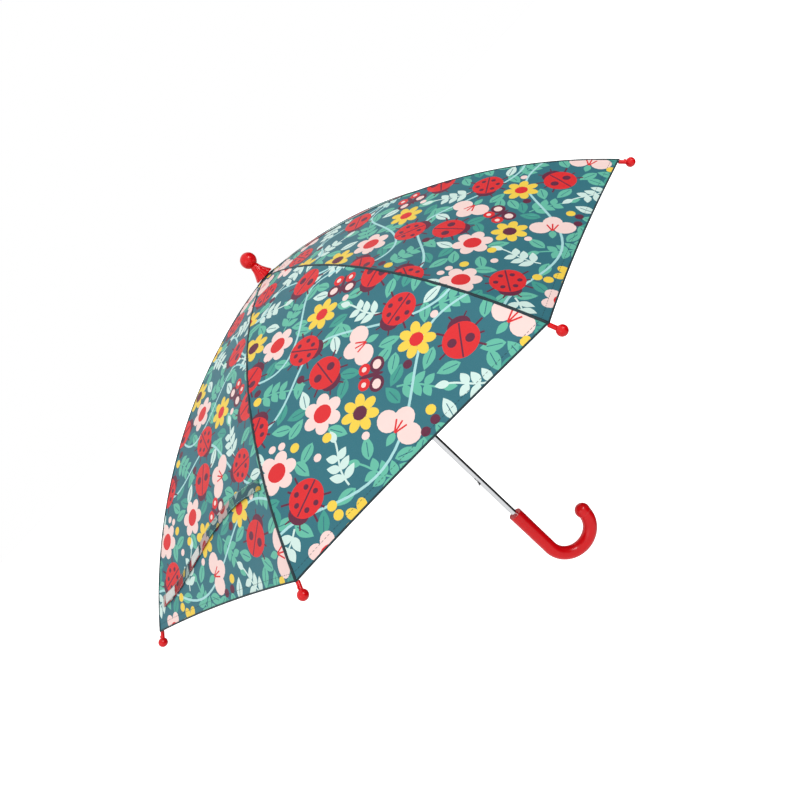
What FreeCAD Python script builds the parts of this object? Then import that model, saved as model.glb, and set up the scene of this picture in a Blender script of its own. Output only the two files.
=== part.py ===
"""A child's stick umbrella, modelled open, in millimetres.

The shaft stands along +Z, with the ferrule at the top and the J-shaped handle at the bottom.
The origin is on the shaft's axis, halfway down the straight part of the grip.
Rib 1 stands at rib_phase degrees from +X, and the others follow it round at equal steps.
"""
import FreeCAD, Part
import math
import os

import Sketcher

from FreeCAD import Placement, Rotation, Vector

doc = FreeCAD.newDocument("childs_umbrella")
sheet = doc.addObject("Spreadsheet::Sheet", "dims")

DIMENSIONS = [
    # the grip and the hook
    ("grip_top", 33, "height of the handle's top end"),
    ("grip_end", -33, "height where the hook starts to bend"),
    ("grip_top_rad", 8.6, "radius of the handle at its top end"),
    ("grip_end_rad", 8.4, "radius of the handle where the hook starts"),
    ("hook_bend", 30.2, "radius of the hook's centre line"),
    ("hook_rad", 8.8, "radius of the hook near its free end"),
    ("hook_rise", 3.0, "straight length after the bend, before the knob"),
    ("knob_rad", 9.6, "radius of the round free end"),
    ("socket_depth", 46, "how far the shaft goes into the handle"),
    # the shaft
    ("shaft_rad", 3.75, "outer radius of the steel tube"),
    ("shaft_wall", 0.5, "wall of the steel tube"),
    ("shaft_top", 450, "height of the tube's top end"),
    ("slip", 0.05, "radial clearance of pieces fixed on the shaft"),
    ("ease", 0.3, "running clearance between pieces that move against each other"),
    ("stack_gap", 0.5, "clearance between pieces stacked along the shaft"),
    ("drill_length", 10, "length of a drill that passes right through a small piece"),
    # the canopy's shape along a rib
    ("rib_count", 8, "ribs, stretchers and gores"),
    ("rib_phase", 20, "azimuth of rib 1, degrees"),
    ("crown_height", 439, "height of the fabric where it meets the shaft"),
    ("crown_slope", 4.3, "slope of the fabric at the shaft, degrees"),
    ("arc_rad", 543, "radius of the fabric's arc along a rib"),
    ("tip_reach", 348.6, "distance of a tip ball's centre from the axis"),
    ("fabric_inner", 4.3, "radius of the hole at the fabric's crown"),
    ("fabric_outer", 342.5, "distance of a fabric corner from the axis"),
    ("fabric_thick", 0.5, "thickness of the fabric's stand-in solid"),
    ("fabric_gap", 0.3, "space between the fabric and a rib"),
    ("hem_hollow", 6, "how far the hem is drawn in at the middle of a gore"),
    ("panel_gap", 0.15, "half the space between two canopy sections"),
    # ribs
    ("rib_width", 2.4, "width of a rib's channel"),
    ("rib_depth", 2.8, "depth of a rib's channel"),
    ("rib_wall", 0.5, "wall of a rib's channel"),
    ("tab_thick", 1.0, "thickness of the flattened ends"),
    ("tab_lap", 1.5, "how far a rib's flattened end runs into its channel"),
    ("tab_reach", 15, "distance from the axis where the channel starts"),
    ("channel_end", 337, "distance from the axis where the channel ends"),
    ("eye_rad", 0.75, "radius of the eyes on the retaining wires"),
    ("wire_rad", 0.45, "radius of the retaining wires"),
    ("pivot_reach", 7, "radius of both retaining wires' rings"),
    # stretchers and their joints
    ("joint_reach", 168, "distance of a rib's joint from the axis"),
    ("joint_depth", 2.6, "depth of that joint below the fabric's outer face"),
    ("fork_gap", 3.0, "space between the fork's two ears"),
    ("ear_thick", 0.7, "thickness of one ear"),
    ("ear_rad", 1.5, "radius of an ear's round end"),
    ("fork_length", 19, "length of the fork's open slot past the joint"),
    ("rivet_rad", 0.55, "radius of a joint's rivet"),
    ("rivet_head_rad", 1.4, "radius of a rivet's head"),
    ("rivet_head", 0.5, "height of a rivet's head"),
    ("stretcher_height", 2.6, "height of a stretcher's section"),
    ("stretcher_width", 2.2, "width of a stretcher's section"),
    ("link_tab", 8.5, "length of a stretcher's flattened end, from its pivot"),
    ("bridge_length", 4, "length of the solid part of the fork"),
    # rib tips
    ("ball_rad", 4.6, "radius of a tip's ball"),
    ("stem_rad", 1.9, "radius of a tip's stem"),
    ("stem_length", 11, "length of a tip's stem from the ball's centre"),
    ("lug_length", 1.9, "length of the lug that the fabric's corner is sewn to"),
    ("lug_width", 1.2, "width of that lug"),
    ("lug_height", 0.7, "how far that lug stands out of the stem"),
    ("pin_rad", 1.0, "radius of the rib's round end inside the tip"),
    ("pin_length", 11, "length of that round end"),
    ("pin_lap", 3, "how far that round end reaches back into the channel"),
    ("tip_socket", 3.2, "distance of the socket's floor from the ball's centre"),
    # notch and runner
    ("crown_rad", 8.6, "outer radius of the notch and of the runner's head"),
    ("core_rad", 5.3, "radius left inside the slots"),
    ("slot_width", 1.6, "width of the slots that hold the ribs and stretchers"),
    ("notch_drop", 3.6, "how far the notch's head reaches below its pivots"),
    ("notch_skirt", 9, "length of the notch's collar below its pivots"),
    ("runner_bore", 4.1, "radius of the runner's bore"),
    ("runner_rad", 6.1, "radius of the runner's tube"),
    ("runner_head", 4.2, "half the height of the runner's head"),
    ("runner_length", 38, "length of the runner below its pivots"),
    ("collar_rad", 7.6, "radius of the runner's lower collar"),
    ("collar_height", 5, "height of the runner's lower collar"),
    # catches
    ("catch_azimuth", 222.5, "azimuth of both catches, degrees"),
    ("catch_width", 1.6, "width of a catch spring"),
    ("catch_strip", 0.8, "thickness of a catch spring's strip"),
    ("catch_inner", 1.2, "distance of the strip's inner face from the axis"),
    ("top_catch_reach", 7.2, "how far the top catch's tooth stands from the axis"),
    ("low_catch_reach", 6.8, "how far the bottom catch's tooth stands from the axis"),
    ("top_tooth", 20, "height of the top catch's tooth"),
    ("low_tooth", 10, "height of the bottom catch's tooth"),
    ("low_catch_base", 94, "height of the bottom catch's shoulder"),
    ("catch_leaf", 41, "length of a catch spring from its pin to its shoulder"),
    ("catch_pin_rad", 0.55, "radius of the pins that hold the catch springs"),
    ("catch_pin_half", 3.0, "half the length of those pins, which end inside the tube's wall"),
    ("stop_pin_rad", 0.8, "radius of the pin that stops the runner"),
    ("stop_pin_reach", 5.2, "half the length of that pin"),
    # ferrule and rosette
    ("crown_stack", 1.0, "height of the ferrule's foot above the fabric"),
    ("rosette_rad", 13, "radius of the fabric rosette on the crown"),
    ("rosette_gap", 0.3, "space between the rosette and the canopy"),
    ("rosette_thick", 0.5, "thickness of the rosette"),
    ("ferrule_base_rad", 10.8, "radius of the ferrule's foot"),
    ("ferrule_foot", 1.6, "height of the foot's straight rim"),
    ("ferrule_neck_rad", 4.6, "radius of the ferrule's neck"),
    ("ferrule_neck", 15.5, "height of the neck above the crown"),
    ("ferrule_ball_rad", 8.9, "radius of the ferrule's ball"),
    ("ferrule_ball", 23.4, "height of the ball's centre above the crown"),
    ("flute_count", 8, "flutes round the ferrule's cone"),
    ("flute_rad", 1.5, "radius of a flute"),
    # closure strap
    ("strap_width", 11, "width of the closure strap"),
    ("strap_thick", 0.6, "thickness of the closure strap"),
    ("strap_lift", 0.6, "space between the strap and the canopy"),
    ("patch_thick", 0.5, "thickness of a hook-and-loop patch"),
]

for row, (alias, number, meaning) in enumerate(DIMENSIONS, start=1):
    sheet.set(f"A{row}", meaning)
    sheet.set(f"B{row}", str(number))
    sheet.setAlias(f"B{row}", alias)
doc.recompute()

SIZE = {alias: float(getattr(sheet, alias)) for alias, number, meaning in DIMENSIONS}
RIBS = int(SIZE["rib_count"])
STEP = 360.0 / RIBS

# ---------------------------------------------------------------- the canopy's arc and the linkage
# Every rib lies in a plane through the shaft's axis, on a circle about ARC_CENTRE in that plane.
SLOPE = math.radians(SIZE["crown_slope"])
ARC_CENTRE_X = -SIZE["arc_rad"] * math.sin(SLOPE)
ARC_CENTRE_Z = SIZE["crown_height"] - SIZE["arc_rad"] * math.cos(SLOPE)
RIB_TOP_DEPTH = SIZE["fabric_thick"] + SIZE["fabric_gap"]
RIB_MID_DEPTH = RIB_TOP_DEPTH + SIZE["rib_depth"] / 2


def arc_height(reach, depth=0.0):
    """Height of the point at a distance from the axis, a depth below the fabric's outer face."""
    radius = SIZE["arc_rad"] - depth
    return ARC_CENTRE_Z + math.sqrt(radius ** 2 - (reach - ARC_CENTRE_X) ** 2)


def arc_point(reach, depth=0.0):
    return Vector(reach, 0, arc_height(reach, depth))


NOTCH_PIVOT = arc_point(SIZE["pivot_reach"], RIB_MID_DEPTH)
JOINT = arc_point(SIZE["joint_reach"], SIZE["joint_depth"])
RUNNER_PIVOT = Vector(SIZE["pivot_reach"], 0, 2 * JOINT.z - NOTCH_PIVOT.z)
TIP = arc_point(SIZE["tip_reach"], RIB_MID_DEPTH)
LINK_LENGTH = (JOINT - NOTCH_PIVOT).Length
RUNNER_BOTTOM = RUNNER_PIVOT.z - SIZE["runner_length"]
RUNNER_TOP = RUNNER_PIVOT.z + SIZE["runner_head"]

# How far the ribs fold before their tip balls, side by side, close in on the shaft.
EASE = SIZE["ease"]
TIP_ARM = (TIP - NOTCH_PIVOT).Length
TIP_SLOPE = math.degrees(math.asin((NOTCH_PIVOT.z - TIP.z) / TIP_ARM))
CLOSED_TIP_REACH = (SIZE["ball_rad"] + EASE) / math.sin(math.radians(STEP / 2)) + 0.8
FOLD = math.degrees(math.acos((CLOSED_TIP_REACH - NOTCH_PIVOT.x) / TIP_ARM)) - TIP_SLOPE
LINK_SLOPE = math.degrees(math.asin((NOTCH_PIVOT.z - JOINT.z) / LINK_LENGTH))
CLOSED_LINK_SLOPE = LINK_SLOPE + FOLD
RUNNER_TRAVEL = 2 * LINK_LENGTH * (math.sin(math.radians(CLOSED_LINK_SLOPE))
                                   - math.sin(math.radians(LINK_SLOPE)))

# Where the catches and the pins stand on the shaft.
TOP_SHOULDER = RUNNER_BOTTOM - SIZE["stack_gap"]
TOP_CATCH_PIN = TOP_SHOULDER - SIZE["catch_leaf"]
LOW_CATCH_PIN = SIZE["low_catch_base"] + SIZE["catch_leaf"]
STOP_PIN = RUNNER_TOP + SIZE["stop_pin_rad"] + 0.1
CATCH_PIN_REACH = SIZE["catch_inner"] + SIZE["catch_strip"] / 2
# name, height, distance from the axis, radius, half its length
PIN_PLACES = [
    ("top_catch_pin", TOP_CATCH_PIN, CATCH_PIN_REACH, "dims.catch_pin_rad", "dims.catch_pin_half"),
    ("low_catch_pin", LOW_CATCH_PIN, CATCH_PIN_REACH, "dims.catch_pin_rad", "dims.catch_pin_half"),
    ("runner_stop_pin", STOP_PIN, 0, "dims.stop_pin_rad", "dims.stop_pin_reach"),
]

HOOK_SECTIONS = 8     # steps of the loft along the hook's half turn
HOOK_TAPER = 0.625    # share of that turn over which the hook thins to its final radius
FLUTE_OUT = 0.4       # share of a flute's radius by which its axis stands outside the cone
FLARE = [(0.3, 0.82), (0.62, 0.58)]   # the ferrule's hollow cone: shares of its height and of its radius


# ---------------------------------------------------------------- helpers
def around(azimuth):
    """Placement that turns a piece drawn in the XZ plane to its azimuth about the shaft."""
    return Placement(Vector(0, 0, 0), Rotation(Vector(0, 0, 1), azimuth))


def rib_azimuth(index):
    return SIZE["rib_phase"] + STEP * index


def at_height(height):
    return Placement(Vector(0, 0, height), Rotation())


def tilted(point, angle):
    """Placement at a point of the XZ plane, with local +X raised by an angle above the horizontal."""
    return Placement(point, Rotation(Vector(0, 1, 0), -angle))


def crosswise(point, offset):
    """Placement of a cylinder that runs along -Y from an offset beside a point of the XZ plane."""
    return Placement(point + Vector(0, offset, 0), Rotation(Vector(1, 0, 0), 90))


def bind(thing, **formulas):
    """Tie properties of a document object to formulas over the sheet's cells."""
    for name, formula in formulas.items():
        thing.setExpression(name, formula)
    return thing


def cylinder(name, radius, height, place, angle=360):
    made = bind(doc.addObject("Part::Cylinder", name), Radius=radius, Height=height)
    made.Angle = angle
    made.Placement = place
    return made


def cone(name, low, high, height, place):
    made = bind(doc.addObject("Part::Cone", name), Radius1=low, Radius2=high, Height=height)
    made.Placement = place
    return made


def block(name, length, width, height, corner):
    made = bind(doc.addObject("Part::Box", name), Length=length, Width=width, Height=height)
    made.Placement = Placement(corner, Rotation())
    return made


def drill(name, radius, point):
    """Drill that runs crosswise, right through a small piece, at a point of the XZ plane."""
    return cylinder(name, radius, "dims.drill_length", crosswise(point, SIZE["drill_length"] / 2))


def ball(name, radius, point):
    made = bind(doc.addObject("Part::Sphere", name), Radius=radius)
    made.Placement = Placement(point, Rotation())
    return made


def ring(name, reach, radius, height):
    made = bind(doc.addObject("Part::Torus", name), Radius1=reach, Radius2=radius)
    made.Placement = at_height(height)
    return made


def fuse(name, *shapes):
    joined = doc.addObject("Part::MultiFuse", name)
    joined.Shapes = list(shapes)
    return joined


def cut(name, base, tool):
    result = doc.addObject("Part::Cut", name)
    result.Base = base
    result.Tool = tool
    return result


NODES = []


def node(thing, label, place=None):
    """Name a finished piece, move it to its place and put it on the list to be written."""
    thing.Label = label
    if place is not None:
        thing.Placement = place
    NODES.append(thing)
    return thing


def new_sketch(body, role, name):
    """A sketch on one of the body's own origin planes."""
    sketch = body.newObject("Sketcher::SketchObject", name)
    plane = next(item for item in body.Origin.OriginFeatures if item.Role == role)
    sketch.AttachmentSupport = [(plane, "")]
    sketch.MapMode = "FlatFace"
    return sketch


def outline(sketch, points):
    """Closed straight-sided outline; each point is a pair of formulas over the sheet's cells."""
    where = [Vector(*(float(sheet.evalExpression(term.replace("dims.", ""))) for term in pair))
             for pair in points]
    count = len(where)
    for start, corner in enumerate(where):
        sketch.addGeometry(Part.LineSegment(corner, where[(start + 1) % count]), False)
    for start in range(count):
        following = (start + 1) % count
        sketch.addConstraint(Sketcher.Constraint("Coincident", start, 2, following, 1))
    for index, (corner, pair) in enumerate(zip(where, points)):
        for letter, value, term in zip("XY", corner, pair):
            if abs(value) < 1e-9:
                across = -2 if letter == "X" else -1
                sketch.addConstraint(Sketcher.Constraint("PointOnObject", index, 1, across))
                continue
            constraint = Sketcher.Constraint(f"Distance{letter}", -1, 1, index, 1, value)
            held = sketch.addConstraint(constraint)
            sketch.setExpression(f"Constraints[{held}]", term)
    return sketch


def turned(body, points, name):
    """Solid of revolution about the shaft's axis from an outline of (radius, height) pairs."""
    sketch = outline(new_sketch(body, "XZ_Plane", f"{name}_profile"), points)
    made = body.newObject("PartDesign::Revolution", name)
    made.Profile = sketch
    made.ReferenceAxis = (sketch, ["V_Axis"])
    made.Angle = 360
    body.Tip = made
    return made


def slots(body, points, height, count, name):
    """Radial slots: one outline in the top view, cut through a height, repeated round the axis."""
    sketch = outline(new_sketch(body, "XY_Plane", f"{name}_outline"), points)
    first = body.newObject("PartDesign::Pocket", name)
    first.Profile = sketch
    first.Midplane = True
    first.setExpression("Length", height)
    repeated = body.newObject("PartDesign::PolarPattern", f"{name}_pattern")
    repeated.Originals = [first]
    repeated.Axis = (sketch, ["N_Axis"])
    repeated.Angle = 360
    repeated.Occurrences = count
    body.Tip = repeated


# ---------------------------------------------------------------- shaft and handle
def make_shaft():
    foot = SIZE["grip_top"] - SIZE["socket_depth"]
    tube = cylinder("tube_outside", "dims.shaft_rad", "dims.shaft_top - dims.grip_top + dims.socket_depth",
                    at_height(foot))
    hollow = cylinder("tube_inside", "dims.shaft_rad - dims.shaft_wall",
                      "dims.shaft_top - dims.grip_top + dims.socket_depth", at_height(foot))
    side = around(SIZE["catch_azimuth"])
    openings = []
    for name, low, tall in (
        ("top", TOP_SHOULDER - SIZE["top_tooth"], "dims.top_tooth + 2 * dims.ease"),
        ("low", SIZE["low_catch_base"], "dims.low_tooth + 2 * dims.ease"),
    ):
        opening = block(f"{name}_catch_slot", "dims.shaft_rad + 1", "dims.catch_width + 2 * dims.ease", tall,
                        Vector(0, 0, 0))
        corner = Vector(0, -SIZE["catch_width"] / 2 - EASE, low - EASE)
        opening.Placement = side.multiply(Placement(corner, Rotation()))
        openings.append(opening)
    for name, height, reach, radius, half in PIN_PLACES:
        hole = drill(f"{name}_hole", radius, Vector(reach, 0, height))
        hole.Placement = side.multiply(hole.Placement)
        openings.append(hole)
    node(cut("tube", tube, fuse("tube_cuts", hollow, *openings)), "shaft_tube")


def make_pins():
    """Two rivets that hold the catch springs, and the pin that stops the runner at the top."""
    side = around(SIZE["catch_azimuth"])
    for name, height, reach, radius, half in PIN_PLACES:
        at_pin = crosswise(Vector(reach, 0, height), SIZE[half.replace("dims.", "")])
        node(cylinder(name, radius, f"2 * {half}", at_pin), name, side.multiply(at_pin))


def make_handle():
    """The grip, the hook as a loft through round sections, and the knob on its free end."""
    grip = cone("grip", "dims.grip_end_rad", "dims.grip_top_rad", "dims.grip_top - dims.grip_end",
                at_height(SIZE["grip_end"]))
    sections = []
    centre = Vector(SIZE["hook_bend"], 0, SIZE["grip_end"])
    for index in range(HOOK_SECTIONS + 1):
        share = index / HOOK_SECTIONS
        section = bind(
            doc.addObject("Part::Circle", f"hook_section_{index}"),
            Radius=f"dims.grip_end_rad + (dims.hook_rad - dims.grip_end_rad) * {min(1, share / HOOK_TAPER)}",
        )
        turn = Rotation(Vector(0, 1, 0), -180 * share)
        section.Placement = Placement(centre + turn.multVec(Vector(-SIZE["hook_bend"], 0, 0)), turn)
        sections.append(section)
    hook = doc.addObject("Part::Loft", "hook")
    hook.Sections = sections
    hook.Solid = True
    hook.Ruled = False
    end = Vector(2 * SIZE["hook_bend"], 0, SIZE["grip_end"])
    rise = cone("hook_end", "dims.hook_rad", "dims.knob_rad * 0.9", "dims.hook_rise",
                Placement(end, Rotation()))
    knob = ball("knob", "dims.knob_rad", end + Vector(0, 0, SIZE["hook_rise"]))
    solid = fuse("handle_solid", grip, hook, rise, knob)
    socket = cylinder("handle_socket", "dims.shaft_rad + dims.slip", "dims.socket_depth + 1",
                      at_height(SIZE["grip_top"] - SIZE["socket_depth"]))
    node(cut("handle_bored", solid, socket), "handle")


# ---------------------------------------------------------------- crown
def make_ferrule():
    """Turned foot, flared cone, neck and ball, with flutes down the cone and a bore for the tube."""
    body = doc.addObject("PartDesign::Body", "ferrule_body")
    bore = "dims.shaft_rad + dims.slip"
    turned(body, [
        (bore, "0"),
        ("dims.ferrule_base_rad", "0"),
        ("dims.ferrule_base_rad", "dims.ferrule_foot"),
        *((f"dims.ferrule_base_rad * {across}", f"dims.ferrule_neck * {up}") for up, across in FLARE),
        ("dims.ferrule_neck_rad", "dims.ferrule_neck"),
        ("dims.ferrule_neck_rad", "dims.ferrule_ball"),
        ("0", "dims.ferrule_ball"),
        ("0", "dims.shaft_top - dims.crown_height + dims.stack_gap"),
        (bore, "dims.shaft_top - dims.crown_height + dims.stack_gap"),
    ], "ferrule_cone")
    base = SIZE["crown_height"] + SIZE["crown_stack"]
    body.Placement = at_height(base)
    round_end = ball("ferrule_ball", "dims.ferrule_ball_rad", Vector(0, 0, base + SIZE["ferrule_ball"]))
    whole = fuse("ferrule_whole", body, round_end)
    flutes = []
    slope = math.degrees(math.atan2(SIZE["ferrule_base_rad"] - SIZE["ferrule_neck_rad"], SIZE["ferrule_neck"]))
    for index in range(int(SIZE["flute_count"])):
        beside = Vector(SIZE["ferrule_base_rad"] + SIZE["flute_rad"] * FLUTE_OUT, 0, base - 1)
        foot = Placement(beside, Rotation(Vector(0, 1, 0), -slope))
        turn = around(360 * index / SIZE["flute_count"])
        flutes.append(cylinder(f"flute_{index}", "dims.flute_rad", "dims.ferrule_neck", turn.multiply(foot)))
    node(cut("ferrule_fluted", whole, fuse("flutes", *flutes)), "ferrule")


def make_rosette():
    """Round patch of fabric that covers the gores' points under the ferrule."""
    body = doc.addObject("PartDesign::Body", "rosette")
    fall = SIZE["crown_height"] - arc_height(SIZE["rosette_rad"])
    turned(body, [
        ("dims.shaft_rad + dims.ease", "dims.rosette_gap"),
        ("dims.rosette_rad", f"dims.rosette_gap - {fall:g}"),
        ("dims.rosette_rad", f"dims.rosette_gap + dims.rosette_thick - {fall:g}"),
        ("dims.shaft_rad + dims.ease", "dims.rosette_gap + dims.rosette_thick"),
    ], "rosette_disc")
    node(body, "crown_rosette", at_height(SIZE["crown_height"]))


def make_notch():
    """Slotted head that holds the ribs' inner ends, with a collar that fits the tube."""
    body = doc.addObject("PartDesign::Body", "notch")
    bore = "dims.shaft_rad + dims.slip"
    groove_low = "-dims.wire_rad - 0.1"
    groove_high = "dims.wire_rad + 0.1"
    groove_in = "dims.pivot_reach - dims.wire_rad - 0.1"
    turned(body, [
        (bore, "-dims.notch_skirt"),
        ("dims.core_rad", "-dims.notch_skirt"),
        ("dims.core_rad", "-dims.notch_drop"),
        ("dims.crown_rad", "-dims.notch_drop"),
        ("dims.crown_rad", groove_low),
        (groove_in, groove_low),
        (groove_in, groove_high),
        ("dims.crown_rad", groove_high),
        ("dims.crown_rad", "1"),
        (bore, "1.6"),
    ], "notch_head")
    slots(body, [
        ("dims.core_rad", "-dims.slot_width / 2"),
        ("dims.crown_rad + 1", "-dims.slot_width / 2"),
        ("dims.crown_rad + 1", "dims.slot_width / 2"),
        ("dims.core_rad", "dims.slot_width / 2"),
    ], "4 * dims.notch_drop", RIBS, "notch_slot")
    whole = Placement(Vector(0, 0, NOTCH_PIVOT.z), around(SIZE["rib_phase"]).Rotation)
    node(body, "top_notch", whole)
    wire = ring("notch_wire", "dims.pivot_reach", "dims.wire_rad", NOTCH_PIVOT.z)
    node(wire, "top_notch_wire")


def make_runner():
    """The sliding piece: a slotted head, a tube with a window for the catch, and a thumb collar."""
    body = doc.addObject("PartDesign::Body", "slider")
    groove_low = "-dims.wire_rad - 0.1"
    groove_high = "dims.wire_rad + 0.1"
    groove_in = "dims.pivot_reach - dims.wire_rad - 0.1"
    turned(body, [
        ("dims.runner_bore", "-dims.runner_length"),
        ("dims.collar_rad", "-dims.runner_length"),
        ("dims.collar_rad", "-dims.runner_length + dims.collar_height"),
        ("dims.runner_rad", "-dims.runner_length + dims.collar_height + 1.5"),
        ("dims.runner_rad", "-dims.runner_head - 2"),
        ("dims.crown_rad", "-dims.runner_head"),
        ("dims.crown_rad", groove_low),
        (groove_in, groove_low),
        (groove_in, groove_high),
        ("dims.crown_rad", groove_high),
        ("dims.crown_rad", "dims.runner_head"),
        ("dims.runner_bore", "dims.runner_head"),
    ], "runner_turned")
    slots(body, [
        ("dims.core_rad", "-dims.slot_width / 2"),
        ("dims.crown_rad + 1", "-dims.slot_width / 2"),
        ("dims.crown_rad + 1", "dims.slot_width / 2"),
        ("dims.core_rad", "dims.slot_width / 2"),
    ], "2 * dims.runner_head + 1", RIBS, "runner_slot")
    body.Placement = Placement(Vector(0, 0, RUNNER_PIVOT.z), around(SIZE["rib_phase"]).Rotation)
    window = block("runner_window", "dims.runner_rad + 1", "dims.catch_width + 2", "dims.low_tooth + 3",
                   Vector(0, 0, 0))
    low = SIZE["low_catch_base"] - 1.5 + RUNNER_TRAVEL
    corner = Placement(Vector(1, -SIZE["catch_width"] / 2 - 1, low), Rotation())
    window.Placement = around(SIZE["catch_azimuth"]).multiply(corner)
    node(cut("runner_windowed", body, window), "runner")
    wire = ring("runner_ring", "dims.pivot_reach", "dims.wire_rad", RUNNER_PIVOT.z)
    node(wire, "runner_wire")


# ---------------------------------------------------------------- catches
def make_catches():
    """Flat springs inside the tube, each with a tooth that stands out through its slot."""
    strip_out = "(dims.catch_inner + dims.catch_strip)"
    plans = [
        ("top_catch_spring", TOP_CATCH_PIN, "dims.catch_leaf", "dims.top_catch_reach",
         "(dims.catch_leaf - dims.top_tooth)", "dims.catch_leaf"),
        ("bottom_catch_spring", LOW_CATCH_PIN, "-dims.catch_leaf", "dims.low_catch_reach",
         "(dims.low_tooth - dims.catch_leaf)", "-dims.catch_leaf"),
    ]
    for label, pin, leaf_end, reach, ramp_start, shoulder in plans:
        body = doc.addObject("PartDesign::Body", f"{label}_body")
        sketch = outline(new_sketch(body, "XZ_Plane", f"{label}_outline"), [
            ("dims.catch_inner", "0"),
            (strip_out, "0"),
            (strip_out, ramp_start),
            (reach, shoulder),
            ("dims.catch_inner", leaf_end),
        ])
        pad = body.newObject("PartDesign::Pad", f"{label}_pad")
        pad.Profile = sketch
        pad.Midplane = True
        pad.setExpression("Length", "dims.catch_width")
        body.Tip = pad
        body.Placement = at_height(pin)
        at_pin = Vector(CATCH_PIN_REACH, 0, pin)
        eye = cylinder(f"{label}_eye", "dims.catch_pin_rad + 0.6", "dims.catch_width",
                       crosswise(at_pin, SIZE["catch_width"] / 2))
        hole = cylinder(f"{label}_hole", "dims.catch_pin_rad + 0.1", "dims.catch_width + 2",
                        crosswise(at_pin, SIZE["catch_width"] / 2 + 1))
        spring = cut(f"{label}_cut", fuse(f"{label}_whole", body, eye), hole)
        node(spring, label, around(SIZE["catch_azimuth"]))


# ---------------------------------------------------------------- ribs, stretchers, tips
def arc_angle(reach, depth):
    """Angle, from +X, of a point on the rib's circle."""
    return math.degrees(math.acos((reach - ARC_CENTRE_X) / (SIZE["arc_rad"] - depth)))


def arc_slope(reach, depth):
    """How steeply the rib falls there, in degrees."""
    return 90 - arc_angle(reach, depth)


def sector(name, radius, width, half_width, depth):
    """Thick sector of the rib's circle, from the rib's flattened end to its round end."""
    start = arc_angle(SIZE["channel_end"], depth)
    sweep = arc_angle(SIZE["tab_reach"], depth) - start
    centre = Vector(ARC_CENTRE_X, half_width, ARC_CENTRE_Z)
    standing = Rotation(Vector(1, 0, 0), 90).multiply(Rotation(Vector(0, 0, 1), start))
    return cylinder(name, radius, width, Placement(centre, standing), sweep)


def make_rib(index):
    tag = f"rib{index + 1}"
    outer = "dims.arc_rad - dims.fabric_thick - dims.fabric_gap"
    inner = f"{outer} - dims.rib_depth"
    half = SIZE["rib_width"] / 2
    strip = sector(f"{tag}_strip", outer, "dims.rib_width", half, RIB_MID_DEPTH)
    below = sector(f"{tag}_below", inner, "dims.rib_width + 2", half + 1, RIB_MID_DEPTH)
    groove = sector(f"{tag}_groove", f"{outer} - dims.rib_wall", "dims.rib_width - 2 * dims.rib_wall",
                    half - SIZE["rib_wall"], RIB_MID_DEPTH)
    channel = cut(f"{tag}_channel", strip, fuse(f"{tag}_hollows", below, groove))
    tab_end = arc_point(SIZE["tab_reach"] + SIZE["tab_lap"], RIB_MID_DEPTH)
    tab_slope = math.degrees(math.atan2(NOTCH_PIVOT.z - tab_end.z, tab_end.x - NOTCH_PIVOT.x))
    tab = block(f"{tag}_tab", "dims.tab_reach + dims.tab_lap - dims.pivot_reach", "dims.tab_thick",
                "dims.rib_depth", Vector(0, 0, 0))
    lift = Placement(Vector(0, -SIZE["tab_thick"] / 2, -SIZE["rib_depth"] / 2), Rotation())
    tab.Placement = tilted(NOTCH_PIVOT, -tab_slope).multiply(lift)
    end = cylinder(f"{tag}_end", "dims.rib_depth / 2", "dims.tab_thick",
                   crosswise(NOTCH_PIVOT, SIZE["tab_thick"] / 2))
    pin_start = arc_point(SIZE["channel_end"] - SIZE["pin_lap"], RIB_MID_DEPTH)
    towards_tip = Rotation(Vector(0, 0, 1), TIP - pin_start)
    pin = cylinder(f"{tag}_pin", "dims.pin_rad", "dims.pin_length", Placement(pin_start, towards_tip))
    eye = drill(f"{tag}_eye", "dims.eye_rad", NOTCH_PIVOT)
    rivet_hole = drill(f"{tag}_rivet_hole", "dims.rivet_rad + 0.02", JOINT)
    solid = fuse(f"{tag}_solid", channel, tab, end, pin)
    rib = cut(f"{tag}_cut", solid, fuse(f"{tag}_holes", eye, rivet_hole))
    node(rib, f"rib_{index + 1}", around(rib_azimuth(index)))


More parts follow.
